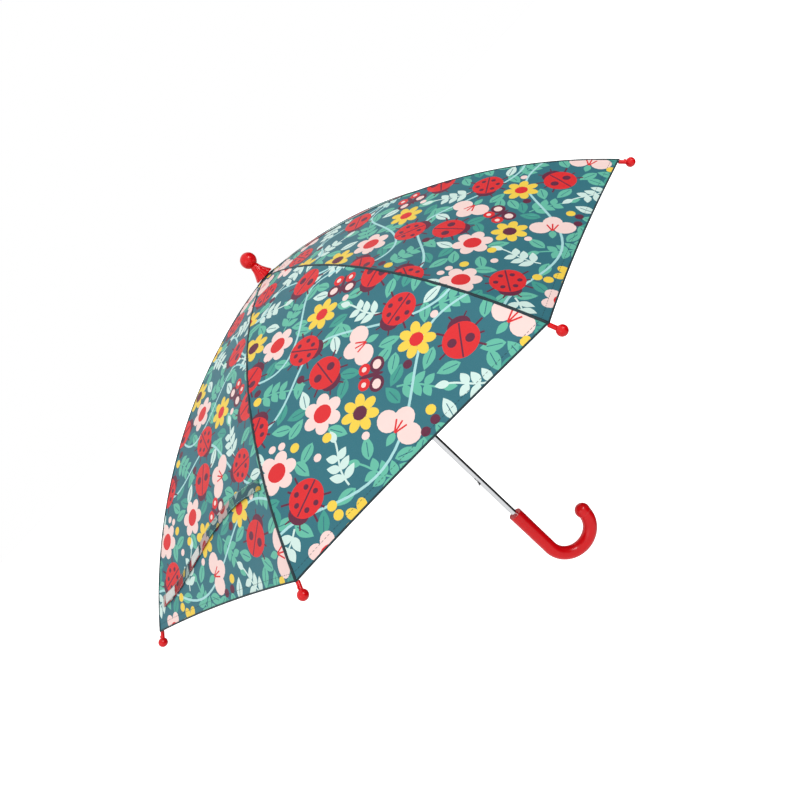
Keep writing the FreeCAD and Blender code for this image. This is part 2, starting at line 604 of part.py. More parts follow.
def make_stretcher(index):
    """Pressed link from the runner to a rib, with a fork that straddles the rib."""
    tag = f"link{index + 1}"
    half_height = SIZE["stretcher_height"] / 2
    half_width = SIZE["stretcher_width"] / 2
    ear_out = SIZE["fork_gap"] / 2 + SIZE["ear_thick"]
    joint = Vector(LINK_LENGTH, 0, 0)
    fork_start = LINK_LENGTH - SIZE["fork_length"]
    tab_end = SIZE["link_tab"]
    tab = block(f"{tag}_tab", "dims.link_tab + 1", "dims.tab_thick", "dims.stretcher_height",
                Vector(0, -SIZE["tab_thick"] / 2, -half_height))
    end = cylinder(f"{tag}_end", "dims.stretcher_height / 2", "dims.tab_thick",
                   crosswise(Vector(0, 0, 0), SIZE["tab_thick"] / 2))
    shank = block(f"{tag}_shank", f"{fork_start - tab_end:g}", "dims.stretcher_width",
                  "dims.stretcher_height", Vector(tab_end, -half_width, -half_height))
    bridge = block(f"{tag}_bridge", "dims.bridge_length", "dims.fork_gap + 2 * dims.ear_thick",
                   "dims.stretcher_height",
                   Vector(fork_start - SIZE["bridge_length"], -ear_out, -half_height))
    ears = []
    for side, offset in (("near", -ear_out), ("far", SIZE["fork_gap"] / 2)):
        ears.append(block(f"{tag}_{side}_ear", "dims.fork_length + 0.5", "dims.ear_thick",
                          "2 * (dims.ear_rad - 0.2)",
                          Vector(fork_start - 0.5, offset, 0.2 - SIZE["ear_rad"])))
        ears.append(cylinder(f"{tag}_{side}_round", "dims.ear_rad", "dims.ear_thick",
                             crosswise(joint, offset + SIZE["ear_thick"])))
    solid = fuse(f"{tag}_solid", tab, end, shank, bridge, *ears)
    groove_start = tab_end + SIZE["bridge_length"]
    groove_end = fork_start - 2 * SIZE["bridge_length"]
    groove = block(f"{tag}_groove", f"{groove_end - groove_start:g}",
                   "dims.stretcher_width - 2 * dims.rib_wall", "dims.stretcher_height - 2 * dims.rib_wall",
                   Vector(groove_start, SIZE["rib_wall"] - half_width, -half_height - SIZE["rib_wall"]))
    eye = drill(f"{tag}_eye", "dims.eye_rad", Vector(0, 0, 0))
    hole = drill(f"{tag}_hole", "dims.rivet_rad + 0.12", joint)
    link = cut(f"{tag}_cut", solid, fuse(f"{tag}_holes", groove, eye, hole))
    node(link, f"stretcher_{index + 1}", around(rib_azimuth(index)).multiply(tilted(RUNNER_PIVOT, LINK_SLOPE)))


def make_rivet(index):
    """Rivet through a rib and the two ears of its stretcher's fork."""
    tag = f"rivet{index + 1}"
    ear_out = SIZE["fork_gap"] / 2 + SIZE["ear_thick"] + 0.15
    shank = cylinder(f"{tag}_shank", "dims.rivet_rad", "dims.fork_gap + 2 * dims.ear_thick + 0.3",
                     crosswise(JOINT, ear_out))
    near = cylinder(f"{tag}_near", "dims.rivet_head_rad", "dims.rivet_head",
                    crosswise(JOINT, ear_out + SIZE["rivet_head"]))
    far = cylinder(f"{tag}_far", "dims.rivet_head_rad", "dims.rivet_head", crosswise(JOINT, -ear_out))
    node(fuse(f"{tag}_whole", shank, near, far), f"rib_joint_{index + 1}", around(rib_azimuth(index)))


def make_tip(index):
    """Moulded ball tip: a ball on a stem, with a small lug that the fabric's corner is sewn to."""
    tag = f"tip{index + 1}"
    pin_start = arc_point(SIZE["channel_end"] - SIZE["pin_lap"], RIB_MID_DEPTH)
    slope = math.degrees(math.atan2(pin_start.z - TIP.z, TIP.x - pin_start.x))
    along = Rotation(Vector(0, 1, 0), -90)
    origin = Vector(0, 0, 0)
    stem = cylinder(f"{tag}_stem", "dims.stem_rad", "dims.stem_length", Placement(origin, along))
    round_end = ball(f"{tag}_ball", "dims.ball_rad", origin)
    lug = block(f"{tag}_lug", "dims.lug_length", "dims.lug_width", "dims.stem_rad + dims.lug_height",
                Vector(-SIZE["ball_rad"] - SIZE["lug_length"], -SIZE["lug_width"] / 2, 0))
    socket = cylinder(f"{tag}_socket", "dims.pin_rad + dims.slip", "dims.stem_length",
                      Placement(Vector(-SIZE["tip_socket"], 0, 0), along))
    tip = cut(f"{tag}_cut", fuse(f"{tag}_whole", stem, round_end, lug), socket)
    node(tip, f"rib_tip_{index + 1}", around(rib_azimuth(index)).multiply(tilted(TIP, -slope)))


# ---------------------------------------------------------------- fabric
def section_points(reach, share):
    """Point of the fabric's outer face at a reach along a rib, moved a share of the way to mid gore."""
    height = arc_height(reach)
    draw = SIZE["hem_hollow"] * (reach / SIZE["fabric_outer"]) ** 2
    half = math.radians(STEP / 2)
    middle = Vector(math.cos(half), math.sin(half), 0).multiply(reach * math.cos(half) - draw)
    beside = Vector(-math.sin(half), math.cos(half), 0).multiply(-SIZE["panel_gap"])
    along = Vector(reach, 0, 0)
    return along + (middle + beside - along) * share + Vector(0, 0, height)


def fabric_edge(share):
    """Arc of the fabric's outer face from the crown to the hem, at a share of half a gore's width."""
    reaches = [SIZE["fabric_inner"], 0.6 * SIZE["fabric_outer"], SIZE["fabric_outer"]]
    low, middle, high = (section_points(reach, share) for reach in reaches)
    return Part.Arc(low, middle, high).toShape()


def make_panel(index):
    """The two half gores that meet at a rib's seam, down to the middle of each gore."""
    sheet_face = Part.makeRuledSurface(fabric_edge(0), fabric_edge(1))
    half = sheet_face.extrude(Vector(0, 0, -SIZE["fabric_thick"]))
    other = half.mirror(Vector(0, 0, 0), Vector(0, 1, 0))
    panel = doc.addObject("Part::Feature", f"panel{index + 1}")
    panel.Shape = half.fuse(other).removeSplitter()
    node(panel, f"canopy_section_{index + 1}", around(rib_azimuth(index)))


# The strap is sewn into the seam of rib 6 and lies across the gore towards the rib before it.
STRAP_RIB = 5         # that rib's index, counted from 0
# A point of its route is a share of the gore's width and a reach along the rib.
STRAP_ROUTE = [(0.03, 277), (0.35, 283), (0.55, 297), (0.75, 313), (0.94, 324)]
FABRIC_RUN = 0.75     # horizontal run of the fabric near the strap, for each unit along its slope


def strap_point(share, reach):
    """Point on the fabric's outer face at a share of the gore's width, from the strap's seam."""
    half = math.radians(STEP / 2)
    inward = Vector(-math.cos(half), math.sin(half), 0)
    start = Vector(reach, 0, arc_height(reach))
    end = Rotation(Vector(0, 0, 1), -STEP).multVec(start)
    hollow = SIZE["hem_hollow"] * (reach / SIZE["fabric_outer"]) ** 2 * (1 - abs(2 * share - 1))
    return start + (end - start) * share + inward * hollow


def strap_band(start, end, half_width, lift, thick):
    """Solid band along the strap's route, between two shares of its length, lifted off the fabric."""
    half = math.radians(STEP / 2)
    outward = Vector(math.cos(half), -math.sin(half), 1).normalize()
    edges = []
    for side in (-1, 1):
        curve = Part.BSplineCurve()
        curve.interpolate([strap_point(share, reach + side * half_width * FABRIC_RUN)
                           for share, reach in STRAP_ROUTE])
        edges.append(curve.toShape(start * curve.LastParameter, end * curve.LastParameter))
    face = Part.makeRuledSurface(*edges)
    face.translate(outward * lift)
    return face.extrude(outward * thick)


def make_strap():
    """Closure strap, with a loop patch on its outer face and a hook patch near its free end."""
    width = SIZE["strap_width"] / 2
    lift = SIZE["strap_lift"]
    top = lift + SIZE["strap_thick"] + 0.1
    plans = [
        ("closure_strap", 0, 1, width, lift, SIZE["strap_thick"]),
        ("strap_loop_patch", 0.56, 0.65, width - 0.5, top, SIZE["patch_thick"]),
        ("strap_hook_patch", 0.88, 0.97, width - 1, top, SIZE["patch_thick"]),
    ]
    for label, start, end, half, rise, thick in plans:
        band = doc.addObject("Part::Feature", f"{label}_band")
        band.Shape = strap_band(start, end, half, rise, thick)
        node(band, label, around(rib_azimuth(STRAP_RIB)))


make_shaft()
make_pins()
make_handle()
make_ferrule()
make_rosette()
make_notch()
make_runner()
make_catches()
for rib in range(RIBS):
    make_rib(rib)
    make_stretcher(rib)
    make_rivet(rib)
    make_tip(rib)
    make_panel(rib)
make_strap()

# ---------------------------------------------------------------- check and write
doc.recompute()
faults = [f"{item.Name}: {item.State}" for item in doc.Objects
          if "Invalid" in item.State or "Error" in item.State]
for piece in NODES:
    if piece.Shape.isNull() or not piece.Shape.isValid() or not piece.Shape.Solids:
        faults.append(f"{piece.Label}: its shape is empty or not valid")
if faults:
    raise RuntimeError("; ".join(faults))

os.makedirs("parts", exist_ok=True)
for piece in NODES:
    piece.Shape.exportStep(f"parts/{piece.Label}.step")
    print(f"{piece.Label:24s} solids {len(piece.Shape.Solids)}  volume {piece.Shape.Volume:10.1f} mm3")
print(f"fold {FOLD:.2f} deg, runner travel {RUNNER_TRAVEL:.2f} mm, link slope {LINK_SLOPE:.2f} deg")
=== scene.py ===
"""A child's stick umbrella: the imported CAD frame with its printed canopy, trim and materials.

Lengths are in metres in the row frame, and the print is drawn in millimetres on a flat gore.
"""
import math
import random

import bmesh
import bpy
import numpy as np
from mathutils import Matrix, Vector
from mathutils.geometry import delaunay_2d_cdt


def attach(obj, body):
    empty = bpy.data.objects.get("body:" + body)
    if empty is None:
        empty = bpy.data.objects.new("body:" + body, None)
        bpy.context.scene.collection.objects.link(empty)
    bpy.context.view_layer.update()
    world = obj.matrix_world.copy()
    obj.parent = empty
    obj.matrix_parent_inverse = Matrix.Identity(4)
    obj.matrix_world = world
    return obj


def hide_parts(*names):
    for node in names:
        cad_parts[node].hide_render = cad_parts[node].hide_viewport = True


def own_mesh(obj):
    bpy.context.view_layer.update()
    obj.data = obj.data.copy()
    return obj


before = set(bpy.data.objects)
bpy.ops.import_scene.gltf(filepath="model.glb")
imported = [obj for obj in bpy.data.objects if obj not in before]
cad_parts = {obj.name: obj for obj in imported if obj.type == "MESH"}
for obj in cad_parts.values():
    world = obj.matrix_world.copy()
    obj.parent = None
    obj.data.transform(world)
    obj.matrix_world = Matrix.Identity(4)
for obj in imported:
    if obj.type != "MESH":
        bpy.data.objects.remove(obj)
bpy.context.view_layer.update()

MM = 0.001

# ---------------------------------------------------------------- the canopy's shape, as in the CAD part
RIBS = 8
PHASE = 20.0                 # azimuth of rib 1, degrees
STEP = 360.0 / RIBS
CROWN = 0.439                # height of the fabric at the shaft
SLOPE = math.radians(4.3)    # slope of the fabric at the shaft
ARC = 0.543                  # radius of the fabric along a rib
HEM_REACH = 0.3425           # distance of a gore's corner from the axis
CROWN_REACH = 0.0043         # radius of the hole at the crown
HOLLOW = 0.006               # how far the hem is drawn in at the middle of a gore
PUCKER = 0.00045             # height of the small waves beside the seams
PUCKER_PITCH = 0.017         # their length along the seam
PUCKER_REACH = 0.014         # how far from the seam they die out
SEAM_REACH = 0.003           # how far from the seam they start
HALF_CHORD = math.sin(math.radians(STEP / 2))
ARC_X = -ARC * math.sin(SLOPE)
ARC_Z = CROWN - ARC * math.cos(SLOPE)

# ---------------------------------------------------------------- camera
EYE = Vector((0.0038, -0.8330, 0.4599))
LOOK_DOWN = math.radians(15.03)
ROLL = math.radians(46.42)
FOCAL = 33.94
SENSOR = 36.0


def make_camera():
    """Camera in front of the umbrella, looking down and rolled, so that the ferrule is at the upper left."""
    ahead = Vector((0, math.cos(LOOK_DOWN), -math.sin(LOOK_DOWN)))
    level_right = Vector((1, 0, 0))
    level_up = level_right.cross(ahead)
    right = level_right * math.cos(ROLL) - level_up * math.sin(ROLL)
    up = right.cross(ahead)
    lens = bpy.data.cameras.new("camera")
    lens.lens = FOCAL
    lens.sensor_width = SENSOR
    camera = bpy.data.objects.new("camera", lens)
    bpy.context.scene.collection.objects.link(camera)
    camera.matrix_world = Matrix((
        (right.x, up.x, -ahead.x, EYE.x),
        (right.y, up.y, -ahead.y, EYE.y),
        (right.z, up.z, -ahead.z, EYE.z),
        (0, 0, 0, 1),
    ))
    bpy.context.scene.camera = camera


make_camera()


# ---------------------------------------------------------------- colours
def linear(red, green, blue):
    """Screen colour from 0 to 255, as the linear values that shaders use."""
    out = []
    for value in (red, green, blue):
        share = value / 255
        out.append(share / 12.92 if share <= 0.04045 else ((share + 0.055) / 1.055) ** 2.4)
    return (*out, 1.0)


INK = {
    "teal": linear(34, 110, 124),
    "mint": linear(98, 190, 164),
    "leaf": linear(58, 158, 142),
    "pale": linear(212, 238, 230),
    "stem": linear(170, 222, 222),
    "red": linear(226, 22, 30),
    "maroon": linear(98, 16, 56),
    "pink": linear(252, 220, 214),
    "yellow": linear(248, 212, 70),
    "navy": linear(16, 52, 60),
}


# ---------------------------------------------------------------- flat shapes of the print, millimetres
def placed(points, x, y, turn=0.0, size=1.0):
    c, s = math.cos(turn) * size, math.sin(turn) * size
    return [(x + px * c - py * s, y + px * s + py * c) for px, py in points]


def oval(x, y, wide, tall, turn=0.0, count=18):
    rim = [(wide * math.cos(2 * math.pi * i / count), tall * math.sin(2 * math.pi * i / count))
           for i in range(count)]
    return placed(rim, x, y, turn)


def blade(x, y, length, width, turn, count=7):
    """Pointed leaf that starts at (x, y) and runs along its turn."""
    side = [(length * i / count, 0.5 * width * math.sin(math.pi * (i / count) ** 0.85) ** 0.9)
            for i in range(1, count)]
    rim = [(0, 0)] + [(px, -py) for px, py in side] + [(length, 0)] + side[::-1]
    return placed(rim, x, y, turn)


def ribbon(line, width):
    """Band of even width along a line of points."""
    left, right = [], []
    for i, (px, py) in enumerate(line):
        ax, ay = line[max(i - 1, 0)]
        bx, by = line[min(i + 1, len(line) - 1)]
        run = math.hypot(bx - ax, by - ay)
        nx, ny = -(by - ay) / run * width / 2, (bx - ax) / run * width / 2
        left.append((px + nx, py + ny))
        right.append((px - nx, py - ny))
    return left + right[::-1]


def moved(shapes, x, y, turn, size):
    return [(placed(points, x, y, turn, size), ink) for points, ink in shapes]


def ladybird(spots):
    """Beetle with a round red back, seen from above, about 25 mm long."""
    shapes = []
    for side in (-1, 1):
        for lean, root in ((0.55, 5.5), (0.0, 0.0), (-0.55, -5.5)):
            start = (side * 9.0, root)
            end = (side * 14.0, root + 6 * lean)
            shapes.append((ribbon([start, end], 1.3), "maroon"))
        shapes.append((ribbon([(side * 2.5, 12.0), (side * 5.5, 17.0)], 1.0), "maroon"))
    shapes.append((oval(0, 9.0, 7.2, 6.2), "maroon"))
    shapes.append((oval(0, -0.6, 11.4, 11.8, 0, 28), "red"))
    shapes.append((ribbon([(0, -12.0), (0, 10.6)], 1.0), "maroon"))
    for x, y, wide in spots:
        shapes.append((oval(x, y, wide, wide, 0, 12), "maroon"))
        shapes.append((oval(-x, y, wide, wide, 0, 12), "maroon"))
    return shapes


FEW_SPOTS = [(5.4, -1.0, 2.9)]
MANY_SPOTS = [(3.9, 5.2, 1.7), (7.4, -0.4, 1.7), (3.6, -6.4, 1.7)]


def flower(petals, reach, wide, tall, petal_ink, heart, heart_ink):
    """Ring of oval petals round a heart."""
    shapes = []
    for i in range(petals):
        angle = 2 * math.pi * i / petals
        petal = oval(reach * math.cos(angle), reach * math.sin(angle), tall, wide, angle, 14)
        shapes.append((petal, petal_ink))
    shapes.append((oval(0, 0, heart, heart, 0, 16), heart_ink))
    return shapes


def blossom():
    """Three broad pale petals that open from a base, with red stamens."""
    shapes = []
    for angle in (0.35, 1.57, 2.79):
        shapes.append((oval(8.6 * math.cos(angle), 8.6 * math.sin(angle) - 3, 7.4, 6.6, angle, 16), "pink"))
    for angle in (1.1, 1.57, 2.04):
        tip = (8.5 * math.cos(angle), 8.5 * math.sin(angle) - 4)
        shapes.append((ribbon([(0, -4), tip], 1.1), "red"))
    shapes.append((blade(0, -3.6, 9, 5, -1.57), "mint"))
    return shapes


def moth():
    """Small moth with four round wings."""
    shapes = []
    for side in (-1, 1):
        shapes.append((oval(side * 6.4, 3.8, 5.6, 5.0, 0, 16), "maroon"))
        shapes.append((oval(side * 6.6, 3.8, 3.3, 2.9, 0, 12), "pink"))
        shapes.append((oval(side * 5.0, -4.6, 4.3, 4.0, 0, 14), "red"))
        shapes.append((oval(side * 5.2, -4.8, 1.8, 1.7, 0, 10), "pink"))
    shapes.append((oval(0, 0, 1.5, 8.4, 0, 12), "maroon"))
    return shapes


def sprig(pairs, ink):
    """Curved stem, 31 mm long, with pairs of leaves and one at its end."""
    pitch = 2.2
    line = [(1.4 * math.sin(0.16 * step * pitch), -16 + step * pitch) for step in range(15)]
    shapes = [(ribbon(line, 1.2), ink)]
    for i in range(pairs):
        x, y = line[2 + int(i * 10 / pairs)]
        for side in (-1, 1):
            shapes.append((blade(x, y, 10.5 - i, 5.4, 1.57 - side * 0.95), ink))
    shapes.append((blade(*line[-2], 9, 5, 1.5), ink))
    return shapes


def single_leaf(ink):
    return [(blade(-7.5, 0, 15, 7.6, 0), ink), (ribbon([(-5.5, 0), (3.5, 0)], 0.55), "teal")]


def dot(ink, wide):
    return [(oval(0, 0, wide, wide, 0, 12), ink)]


# What the print is made of: shapes, radius that one needs (mm), how many a gore may hold,
# how far it may turn either way (radians), and its layer, where a higher one is drawn over a lower one.
MOTIFS = [
    (ladybird(MANY_SPOTS), 14.6, 5, 2.6, 3),
    (flower(6, 8.6, 4.6, 5.2, "pink", 6.2, "red"), 13.6, 5, 3.1, 3),
    (flower(7, 8.0, 3.3, 4.6, "yellow", 4.6, "maroon"), 12.8, 3, 3.1, 3),
    (ladybird(FEW_SPOTS), 14.6, 5, 2.6, 3),
    (blossom(), 13.4, 4, 2.0, 3),
    (flower(7, 8.0, 3.3, 4.6, "yellow", 4.6, "red"), 12.8, 3, 3.1, 3),
    (sprig(3, "pale"), 13.0, 7, 3.1, 2),
    (moth(), 11.0, 2, 1.2, 3),
    (sprig(3, "mint"), 13.0, 6, 3.1, 1),
]
FILLERS = [
    (dot("yellow", 3.2), 3.4, 8, 0.0, 3),
    (dot("maroon", 3.0), 3.2, 6, 0.0, 3),
    (dot("pink", 2.6), 2.8, 6, 0.0, 3),
    (single_leaf("pale"), 5.2, 8, 3.1, 1),
    (single_leaf("mint"), 5.0, 60, 3.1, 0),
    (single_leaf("leaf"), 4.4, 60, 3.1, 0),
    (single_leaf("mint"), 3.4, 60, 3.1, 0),
]
PRINT_SIZE = 1.36            # the motifs' size on the cloth, beside the size they are drawn at
APART = 0.5                  # weight of keeping large motifs of one kind apart, beside packing them tightly
TRIES = 260                  # random places tried for each motif
FIRST_SLACK = 9.0            # space counted beside a motif when no other has been placed
FAR = 90.0                   # distance past which two motifs of one kind count as apart, millimetres
MOTIF_SEED = 11
FILLER_SEED = 12
STRAP_SEED = 5

VINE_LAYER = 2
VINE_WIDTH = 2.3
VINE_STEPS = 34
# Each vine's start as a share of the gore's length, side it leans to, size of its bends (mm), their phase.
VINES = [(0.24, 1, 16, 0.4), (0.42, -1, 20, 2.6), (0.60, 1, 24, 1.0), (0.84, -1, 22, 3.4)]


def vines(length, half_width):
    """Long thin stems that wind across the gore, over the leaves and under the flowers."""
    shapes = []
    for start, lean, bend, phase in VINES:
        line = []
        for step in range(VINE_STEPS):
            share = step / (VINE_STEPS - 1)
            y = length * (start + 0.12 * share) + bend * math.sin(7.5 * share + phase)
            line.append((lean * half_width(y) * (2.1 * share - 1.05), y))
        shapes.append((ribbon(line, VINE_WIDTH), "stem"))
    return shapes


def scattered(inside, low, high, seed, motifs, size, taken, apart=0.0):
    """Pack motifs over an area, one of each kind in turn: each takes the best free place of many tries."""
    chance = random.Random(seed)
    layered = []
    kinds = [(drawn, room * size, turns, layer, []) for drawn, room, count, turns, layer in motifs]
    for turn_number in range(max(count for _, _, count, _, _ in motifs)):
        for (drawn, room, turns, layer, mine), (_, _, count, _, _) in zip(kinds, motifs):
            if turn_number >= count:
                continue
            best = None
            for _ in range(TRIES):
                x = chance.uniform(low[0], high[0])
                y = chance.uniform(low[1], high[1])
                if not inside(x, y, room):
                    continue
                slack = min((math.hypot(x - px, y - py) - room - other for px, py, other in taken),
                            default=FIRST_SLACK)
                alone = min((math.hypot(x - px, y - py) for px, py in mine), default=FAR)
                score = slack - apart * min(alone, FAR)
                if slack > 0 and (best is None or score < best[0]):
                    best = (score, x, y)
            turn = chance.uniform(-turns, turns)
            if best is not None:
                taken.append((best[1], best[2], room))
                mine.append(best[1:])
                layered.append((layer, moved(drawn, best[1], best[2], turn, size)))
    return layered


def painted(layered):
    """Shapes of all layers in the order in which they are drawn."""
    return [shape for layer, shapes in sorted(layered, key=lambda pair: pair[0]) for shape in shapes]


MERGE = 1e-4                 # distance within which points of the cut print become one, millimetres


def within(points, rim):
    """Which points lie inside a closed outline, by the even-odd rule."""
    rim = np.array(rim)
    inside = np.all((points > rim.min(0)) & (points < rim.max(0)), axis=1)
    near = np.flatnonzero(inside)
    x, y = points[near, 0], points[near, 1]
    odd = np.zeros(len(near), bool)
    for (ax, ay), (bx, by) in zip(rim, np.roll(rim, -1, axis=0)):
        if ay != by:
            odd ^= ((ay > y) != (by > y)) & (x < (bx - ax) * (y - ay) / (by - ay) + ax)
    inside[near] = odd
    return inside


def cut_print(outline, shapes, spots, lines):
    """Triangles of a printed area, cut along every shape and line; each has the ink of its top shape."""
    points, edges = [], []
    for rim in [outline] + [rim for rim, ink in shapes] + lines:
        start, count = len(points), len(rim)
        points += rim
        edges += [(start + i, start + i + 1) for i in range(count - 1)]
        if not any(rim is line for line in lines):
            edges.append((start + count - 1, start))
    points += spots
    where, _, cells, _, _, _ = delaunay_2d_cdt([Vector(p) for p in points], edges, [], 0, MERGE, False)
    flat, cells = np.array([(p.x, p.y) for p in where]), np.array(cells)
    cells = cells[within(flat[cells].mean(axis=1), outline)]
    centres = flat[cells].mean(axis=1)
    inks = np.tile(np.array(INK["teal"]), (len(cells), 1))
    for rim, ink in shapes:
        inks[within(centres, rim)] = INK[ink]
    return flat, cells, inks


# ---------------------------------------------------------------- the gore on its ribs
def reach_at(run):
    """Distance from the axis after a run along the rib from the crown."""
    return ARC_X + ARC * np.sin(SLOPE + run / ARC)


def run_at(reach):
    return ARC * (math.asin((reach - ARC_X) / ARC) - SLOPE)


def gore_point(gore, share, reach, pucker=True):
    """Points of the fabric from one rib (share -1) to the next (share 1); gores are counted from 0."""
    share = np.asarray(share, float)
    reach = np.asarray(reach, float)
    first = math.radians(PHASE + STEP * gore)
    second = first + math.radians(STEP)
    middle = (first + second) / 2
    left = np.array([math.cos(first), math.sin(first)])
    right = np.array([math.cos(second), math.sin(second)])
    inward = -np.array([math.cos(middle), math.sin(middle)])
    draw = HOLLOW * (reach / HEM_REACH) ** 2 * (1 - share ** 2)
    flat = (np.multiply.outer(reach * (1 - share) / 2, left)
            + np.multiply.outer(reach * (1 + share) / 2, right)
            + np.multiply.outer(draw, inward))
    height = ARC_Z + np.sqrt(ARC ** 2 - (reach - ARC_X) ** 2)
    if pucker:
        beside = (1 - np.abs(share)) * reach * HALF_CHORD
        wave = np.sin(2 * math.pi * reach / PUCKER_PITCH + 1.3 * np.sign(share))
        height = height + PUCKER * wave * np.exp(-beside / PUCKER_REACH) * np.minimum(1, beside / SEAM_REACH)
    return np.concatenate([flat, height[..., None]], axis=-1)


def outward(gore, share, reach):
    """Unit normals of the fabric's outer face."""
    step = 1e-4
    across = gore_point(gore, share + step, reach, False) - gore_point(gore, share - step, reach, False)
    down = gore_point(gore, share, reach + step, False) - gore_point(gore, share, reach - step, False)
    normal = np.cross(down, across)
    return normal / np.linalg.norm(normal, axis=-1, keepdims=True)


# ---------------------------------------------------------------- making meshes
def mesh_object(name, points, faces, material, colours=None):
    """Object from points and faces; colours, one for each face, go to the corner attribute `print`."""
    mesh = bpy.data.meshes.new(name)
    mesh.from_pydata([tuple(p) for p in points], [], [tuple(int(i) for i in f) for f in faces])
    mesh.update()
    if colours is not None:
        layer = mesh.color_attributes.new("print", "FLOAT_COLOR", "CORNER")
        counts = [len(f) for f in faces]
        layer.data.foreach_set("color", np.repeat(np.asarray(colours, np.float32), counts, axis=0).ravel())
    else:
        solid = bmesh.new()
        solid.from_mesh(mesh)
        bmesh.ops.recalc_face_normals(solid, faces=solid.faces)
        solid.to_mesh(mesh)
        solid.free()
    mesh.polygons.foreach_set("use_smooth", [True] * len(mesh.polygons))
    mesh.materials.append(material)
    made = bpy.data.objects.new(name, mesh)
    bpy.context.scene.collection.objects.link(made)
    return made


def joined(parts):
    """One list of points and faces from several."""
    points, faces = [], []
    for some, cells in parts:
        start = len(points)
        points += [tuple(p) for p in some]
        faces += [tuple(start + int(i) for i in cell) for cell in cells]
    return points, faces


def thickened(piece, thickness):
    """Give a sheet its thickness, on the inner side of its points."""
    made = piece.modifiers.new("thickness", "SOLIDIFY")
    made.thickness = thickness
    made.offset = -1.0
    return made


def grid_faces(rows, columns, closed=False):
    """Four-sided faces over rows of points; a closed grid joins its last column to its first."""
    faces = []
    for r in range(rows - 1):
        for c in range(columns if closed else columns - 1):
            d = (c + 1) % columns
            faces.append((r * columns + c, r * columns + d, (r + 1) * columns + d, (r + 1) * columns + c))
    return faces


def swept(line, normals, section):
    """Closed section swept along a line; section points are (across, up) with up along the normals."""
    line, normals = np.asarray(line, float), np.asarray(normals, float)
    along = np.gradient(line, axis=0)
    along /= np.linalg.norm(along, axis=1, keepdims=True)
    across = np.cross(along, normals)
    across /= np.linalg.norm(across, axis=1, keepdims=True)
    points = []
    for place, side, up in zip(line, across, normals):
        points += [place + side * x + up * y for x, y in section]
    faces = grid_faces(len(line), len(section), True)
    last = (len(line) - 1) * len(section)
    faces.append(tuple(range(len(section)))[::-1])
    faces.append(tuple(last + i for i in range(len(section))))
    return points, faces


def round_section(radius, count):
    return [(radius * math.cos(2 * math.pi * i / count), radius * math.sin(2 * math.pi * i / count))
            for i in range(count)]


def stitches(line, normals, pitch, length, radius):
    """Row of short threads along a line, each dipping into the cloth at its ends."""
    line, normals = np.asarray(line, float), np.asarray(normals, float)
    steps = np.r_[0, np.cumsum(np.linalg.norm(np.diff(line, axis=0), axis=1))]
    parts = []
    for index in range(int(steps[-1] / pitch)):
        at = (index + 0.5) * pitch + np.linspace(-0.5, 0.5, 5) * length
        place = np.stack([np.interp(at, steps, line[:, i]) for i in range(3)], axis=1)
        up = np.stack([np.interp(at, steps, normals[:, i]) for i in range(3)], axis=1)
        dip = np.array([-1.0, 0.2, 0.5, 0.2, -1.0])[:, None] * radius
        parts.append(swept(place + up * dip, up, round_section(radius, 5)))
    return joined(parts)


# ---------------------------------------------------------------- materials
def new_material(name):
    material = bpy.data.materials.new(name)
    material.use_nodes = True
    tree = material.node_tree
    return material, tree, tree.nodes["Principled BSDF"]


def add_node(tree, kind, **values):
    """New node; values are its properties, or its input sockets where the name is one."""
    made = tree.nodes.new(kind)
    for name, value in values.items():
        if hasattr(made, name):
            setattr(made, name, value)
        else:
            made.inputs[name.replace("_", " ")].default_value = value
    return made


def object_coords(tree, scale):
    coords = tree.nodes.new("ShaderNodeTexCoord")
    mapping = add_node(tree, "ShaderNodeMapping", Scale=(scale, scale, scale))
    tree.links.new(coords.outputs["Object"], mapping.inputs["Vector"])
    return mapping.outputs["Vector"]


def noise(tree, coords, scale, detail=3.0, rough=0.55):
    made = add_node(tree, "ShaderNodeTexNoise", Scale=scale, Detail=detail, Roughness=rough)
    tree.links.new(coords, made.inputs["Vector"])
    return made.outputs["Fac"]


def ranged(tree, value, low, high):
    """Value from 0 to 1 spread over a range."""
    made = add_node(tree, "ShaderNodeMapRange", To_Min=low, To_Max=high)
    tree.links.new(value, made.inputs["Value"])
    return made.outputs["Result"]


def mixed(tree, factor, first, second, mode="MIX"):
    """Colour mix; first and second are colours or sockets, factor a number or a socket."""
    made = tree.nodes.new("ShaderNodeMix")
    made.data_type = "RGBA"
    made.blend_type = mode
    for socket, value in ((0, factor), (6, first), (7, second)):
        if hasattr(value, "links"):
            tree.links.new(value, made.inputs[socket])
        else:
            made.inputs[socket].default_value = value
    return made.outputs[2]


def bumped(tree, shader, height, strength, distance):
    made = add_node(tree, "ShaderNodeBump", Strength=strength, Distance=distance)
    tree.links.new(height, made.inputs["Height"])
    tree.links.new(made.outputs["Normal"], shader.inputs["Normal"])


def weave(tree, pitch):
    """Height of a plain weave: two crossed sets of fine ridges in object space."""
    coords = object_coords(tree, 1.0 / pitch)
    sets = []
    for direction in ("X", "Z"):
        made = add_node(tree, "ShaderNodeTexWave", wave_type="BANDS", bands_direction=direction, Scale=0.32,
                        Distortion=0.6, Detail=1.0)
        tree.links.new(coords, made.inputs["Vector"])
        sets.append(made.outputs["Fac"])
    both = add_node(tree, "ShaderNodeMath", operation="MAXIMUM")
    tree.links.new(sets[0], both.inputs[0])
    tree.links.new(sets[1], both.inputs[1])
    return both.outputs[0]


